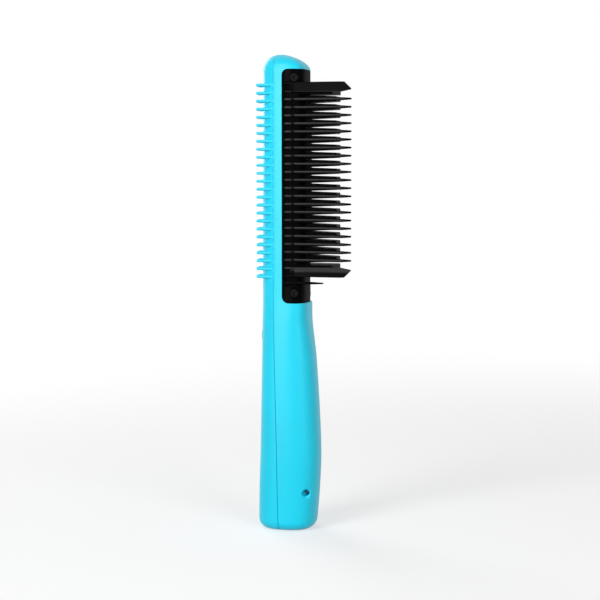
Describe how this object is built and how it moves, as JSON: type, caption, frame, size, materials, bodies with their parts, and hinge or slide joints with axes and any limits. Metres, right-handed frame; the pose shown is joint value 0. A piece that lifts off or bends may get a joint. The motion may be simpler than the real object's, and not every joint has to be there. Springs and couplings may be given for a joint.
{
  "type": "hair straightening brush",
  "caption": "Upright hair straightening brush: heated comb in a guard cassette with long pins, bristled back, shelled handle with buttons, hanging hole and swivelling cord entry.",
  "frame": {"origin": "on the cord entry's axis, in the plane of the flat handle end", "axes": "+Z along the brush from the handle end to the dome, +X towards the comb's tips, the long pins on the -Y side"},
  "size_m": [0.0506, 0.0272, 0.2374],
  "materials": {
    "shell_turquoise": "satin moulded turquoise plastic",
    "button_turquoise": "satin moulded turquoise plastic",
    "guard_black": "satin black heat-resistant plastic",
    "comb_coating": "black ceramic coating on aluminium",
    "heater_ceramic": "bare heater ceramic",
    "mica": "mica sheet",
    "spring_steel": "stamped spring steel",
    "frame_resin": "glass-filled white resin",
    "brass": "bright brass",
    "lead_red": "silicone wire insulation",
    "lead_black": "silicone wire insulation",
    "board_green": "solder-masked laminate",
    "black_case": "moulded component case",
    "terminal_green": "moulded terminal block",
    "bezel_gloss": "gloss black inlay",
    "window_clear": "frosted clear light window",
    "screw_black": "blackened steel",
    "screw_steel": "zinc-plated steel"
  },
  "bodies": {
    "housing": {"rear_shell": "shell_turquoise", "front_shell": "shell_turquoise", "comb_cassette": "guard_black", "heating_comb": "comb_coating", "heater_strips": "heater_ceramic", "heater_insulation": "mica", "heater_clamp": "spring_steel", "heater_frame": "frame_resin", "thermal_fuse": "brass", "thermistor": "mica", "heater_leads": "lead_red", "circuit_board": "board_green", "capacitor": "black_case", "power_module": "black_case", "terminal_block": "terminal_green", "switch_bodies": "black_case", "control_bezel": "bezel_gloss", "indicator_window": "window_clear", "indicator_leds": "frame_resin", "cassette_screws": "screw_black", "shell_screws": "screw_steel", "board_screws": "screw_steel", "swivel_bush": "guard_black", "contact_springs": "brass", "supply_leads": "lead_black"},
    "power_key": {"power_button": "button_turquoise", "power_plunger": "frame_resin"},
    "temp_up_key": {"temp_up_button": "button_turquoise", "temp_up_plunger": "frame_resin"},
    "temp_down_key": {"temp_down_button": "button_turquoise", "temp_down_plunger": "frame_resin"},
    "cord_joint": {"cord_swivel": "guard_black", "slip_rings": "brass"}
  },
  "joints": [
    {"name": "power_press", "type": "slide", "parent": "housing", "child": "power_key", "axis": [1, 0, 0], "range_m": [0, 0.0006], "stiffness_N_per_m": 2000},
    {"name": "temp_up_press", "type": "slide", "parent": "housing", "child": "temp_up_key", "axis": [1, 0, 0], "range_m": [0, 0.0006], "stiffness_N_per_m": 2000},
    {"name": "temp_down_press", "type": "slide", "parent": "housing", "child": "temp_down_key", "axis": [1, 0, 0], "range_m": [0, 0.0006], "stiffness_N_per_m": 2000},
    {"name": "cord_turn", "type": "hinge", "parent": "housing", "child": "cord_joint", "pos_m": [0, 0, 0], "axis": [0, 0, 1], "continuous": true}
  ]
}
